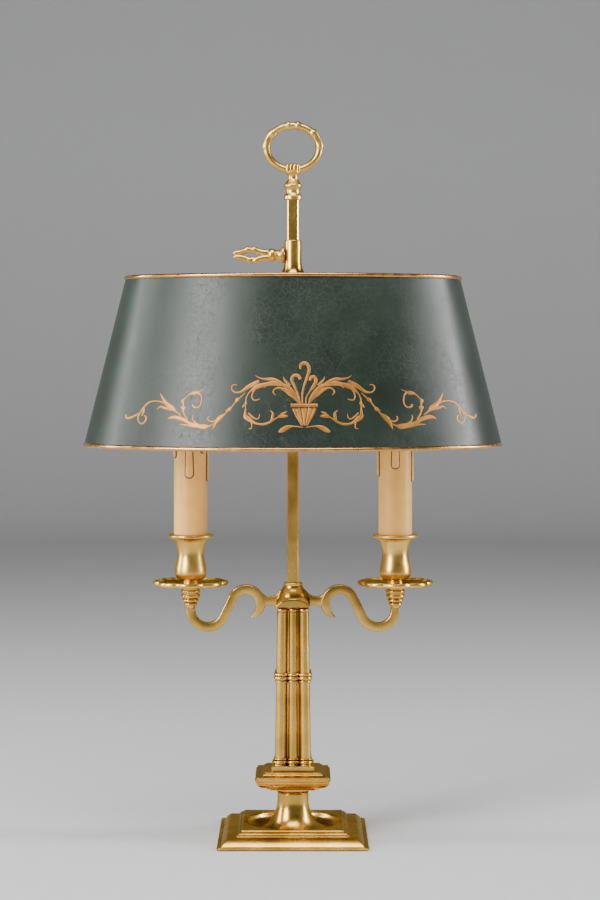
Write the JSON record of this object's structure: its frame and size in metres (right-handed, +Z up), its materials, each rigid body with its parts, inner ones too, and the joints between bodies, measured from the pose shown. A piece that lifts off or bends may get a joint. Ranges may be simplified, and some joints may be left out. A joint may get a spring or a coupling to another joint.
{
  "type": "bouillotte lamp",
  "caption": "Table lamp with a moulded square foot, a clustered column, scroll arms with candle lights and an oval metal shade that slides on a square bar.",
  "frame": {"origin": "centre of the underside, on the table", "axes": "+Z up along the bar, X along the two arms with the key pointing to -X, -Y is the front"},
  "size_m": [0.3398, 0.2418, 0.5793],
  "materials": {
    "brass": "aged satin brass",
    "gilt_brass": "polished brass",
    "rim_gilt": "copper-gold painted metal",
    "steel": "zinc plated",
    "lacquer": "dark green crackled lacquer",
    "candle": "cream wax-like sleeve",
    "holder": "white moulded",
    "bulb_cap": "plain metal",
    "bulb_glass": "opal",
    "felt": "green baize",
    "bush": "black",
    "flex": "flexible insulation"
  },
  "bodies": {
    "stand": {"base_foot": "brass", "base_felt": "felt", "cord_bush": "bush", "pedestal_stem": "brass", "pedestal_platform": "brass", "column": "brass", "tie_tube": "steel", "tie_washer": "steel", "tie_nut": "steel", "arm_hub": "brass", "arm_left": "brass", "arm_right": "brass", "wire_left": "flex", "wire_right": "flex", "arm_ferrule_left": "brass", "arm_ferrule_right": "brass", "drip_pan_left": "gilt_brass", "drip_pan_right": "gilt_brass", "candle_cup_left": "gilt_brass", "candle_cup_right": "gilt_brass", "candle_tube_left": "steel", "candle_tube_right": "steel", "cup_nut_left": "steel", "cup_nut_right": "steel", "lampholder_left": "holder", "lampholder_right": "holder", "candle_sleeve_left": "candle", "candle_sleeve_right": "candle", "centre_rod": "brass"},
    "shade": {"shade_collar": "brass", "shade_spider": "gilt_brass", "shade_shell": "lacquer", "shade_rim_top": "rim_gilt", "shade_rim_bottom": "rim_gilt"},
    "key": {"key_screw": "gilt_brass"},
    "bulb_left": {"bulb_cap_left": "bulb_cap", "bulb_glass_left": "bulb_glass"},
    "bulb_right": {"bulb_cap_right": "bulb_cap", "bulb_glass_right": "bulb_glass"},
    "finial": {"finial_clasp": "gilt_brass", "finial_ring": "gilt_brass"}
  },
  "joints": [
    {"name": "shade_height", "type": "slide", "parent": "stand", "child": "shade", "axis": [0, 0, 1], "range_m": [-0.042, 0.032]},
    {"name": "key_turn", "type": "hinge", "parent": "shade", "child": "key", "pos_m": [-0.0072, 0, 0.4707], "axis": [-1, 0, 0], "range_deg": [0, 360]},
    {"name": "bulb_left_turn", "type": "hinge", "parent": "stand", "child": "bulb_left", "pos_m": [-0.083, 0, 0.305], "axis": [0, 0, 1], "continuous": true},
    {"name": "bulb_right_turn", "type": "hinge", "parent": "stand", "child": "bulb_right", "pos_m": [0.083, 0, 0.305], "axis": [0, 0, 1], "continuous": true},
    {"name": "finial_turn", "type": "hinge", "parent": "stand", "child": "finial", "pos_m": [0, 0, 0.5155], "axis": [0, 0, 1], "continuous": true}
  ]
}
